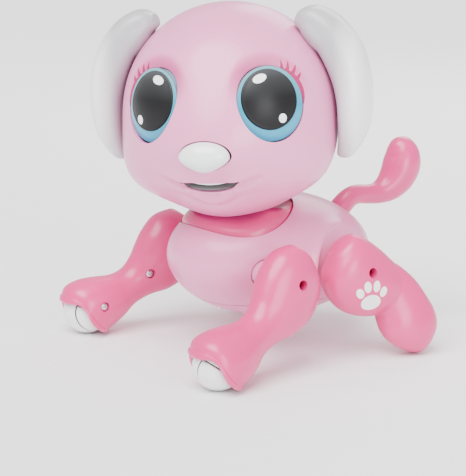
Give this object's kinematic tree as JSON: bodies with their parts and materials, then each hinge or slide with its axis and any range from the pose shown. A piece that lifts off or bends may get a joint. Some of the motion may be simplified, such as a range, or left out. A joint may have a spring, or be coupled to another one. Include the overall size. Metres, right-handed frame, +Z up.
{
  "type": "robot dog toy",
  "caption": "Moulded plastic robot puppy with a large turning head, drop ears, glossy eyes, swinging legs with open paws and a curled tail.",
  "frame": {"origin": "on the floor, under the middle of the dog's bounding box", "axes": "+Z up, the dog faces -Y, its left side is +X"},
  "size_m": [0.1782, 0.2122, 0.2021],
  "materials": {
    "light_pink": "satin",
    "deep_pink": "satin",
    "white": "satin",
    "gear_white": "matte",
    "teal": "gloss",
    "smoked": "gloss",
    "black": "matte",
    "battery_wrap": "satin",
    "board": "satin",
    "inner": "matte",
    "steel": "bright zinc"
  },
  "bodies": {
    "torso": {"body_shell": "light_pink", "belly_shell": "light_pink", "battery_door": "light_pink", "battery_pack": "battery_wrap", "battery_door_screw": "steel", "neck_collar": "deep_pink", "front_gearbox_left": "inner", "front_gearbox_right": "inner", "hind_gearbox_left": "inner", "hind_gearbox_right": "inner", "head_motor": "steel", "tail_motor": "steel", "main_board": "board", "speaker": "inner", "belly_screw_front": "steel", "belly_screw_rear": "steel"},
    "head": {"head_face_shell": "light_pink", "head_back_shell": "light_pink", "neck_tube": "inner", "neck_gear": "gear_white", "eye_iris_left": "teal", "eye_iris_right": "teal", "eye_pupil_left": "smoked", "eye_pupil_right": "smoked", "mouth_window": "smoked", "eye_board": "board", "ear_left": "white", "ear_right": "white"},
    "nose": {"nose_button": "white"},
    "pinion": {"head_pinion": "gear_white"},
    "power_slider": {"power_switch": "black"},
    "tail": {"tail": "deep_pink"},
    "front_leg_left": {"front_leg_left_outer": "deep_pink", "front_leg_left_inner": "deep_pink", "front_leg_left_hub": "inner", "front_leg_left_pivot_screw": "steel", "front_leg_left_screw_1": "steel", "front_leg_left_screw_2": "steel", "front_toes_left": "white"},
    "front_leg_right": {"front_leg_right_outer": "deep_pink", "front_leg_right_inner": "deep_pink", "front_leg_right_hub": "inner", "front_leg_right_pivot_screw": "steel", "front_leg_right_screw_1": "steel", "front_leg_right_screw_2": "steel", "front_toes_right": "white"},
    "hind_leg_left": {"hind_leg_left_outer": "deep_pink", "hind_leg_left_inner": "deep_pink", "hind_leg_left_hub": "inner", "hind_leg_left_pivot_screw": "steel", "hind_leg_left_screw_1": "steel"},
    "hind_leg_right": {"hind_leg_right_outer": "deep_pink", "hind_leg_right_inner": "deep_pink", "hind_leg_right_hub": "inner", "hind_leg_right_pivot_screw": "steel", "hind_leg_right_screw_1": "steel"}
  },
  "joints": [
    {"name": "head_turn", "type": "hinge", "parent": "torso", "child": "head", "pos_m": [0, -0.03332, 0.1402], "axis": [0, -0.061, 0.9981], "range_deg": [-103.5, 16.5]},
    {"name": "head_pinion_spin", "type": "hinge", "parent": "torso", "child": "pinion", "pos_m": [0, -0.00299, 0.06371], "axis": [0, -0.061, 0.9981], "range_deg": [-50, 311]},
    {"name": "nose_press", "type": "slide", "parent": "head", "child": "nose", "axis": [-0.6884, 0.724, 0.0443], "range_m": [0, 0.0012], "stiffness_N_per_m": 600, "springref_m": -0.0006},
    {"name": "front_leg_left_swing", "type": "hinge", "parent": "torso", "child": "front_leg_left", "pos_m": [0.05, -0.03692, 0.0519], "axis": [1, 0, 0], "range_deg": [-25, 15]},
    {"name": "front_leg_right_swing", "type": "hinge", "parent": "torso", "child": "front_leg_right", "pos_m": [-0.05, -0.03692, 0.0519], "axis": [1, 0, 0], "range_deg": [-25, 15]},
    {"name": "hind_leg_left_swing", "type": "hinge", "parent": "torso", "child": "hind_leg_left", "pos_m": [0.05, 0.01208, 0.0524], "axis": [1, 0, 0], "range_deg": [-15, 20]},
    {"name": "hind_leg_right_swing", "type": "hinge", "parent": "torso", "child": "hind_leg_right", "pos_m": [-0.05, 0.01208, 0.0524], "axis": [1, 0, 0], "range_deg": [-15, 20]},
    {"name": "tail_wag", "type": "hinge", "parent": "torso", "child": "tail", "pos_m": [0, 0.04448, 0.072], "axis": [0, 0, 1], "range_deg": [-18, 18]},
    {"name": "power_switch_slide", "type": "slide", "parent": "torso", "child": "power_slider", "axis": [0, 1, 0], "range_m": [0, 0.004]}
  ],
  "couplings": [
    {"joint": "head_pinion_spin", "follows": "head_turn", "ratio": -3}
  ]
}
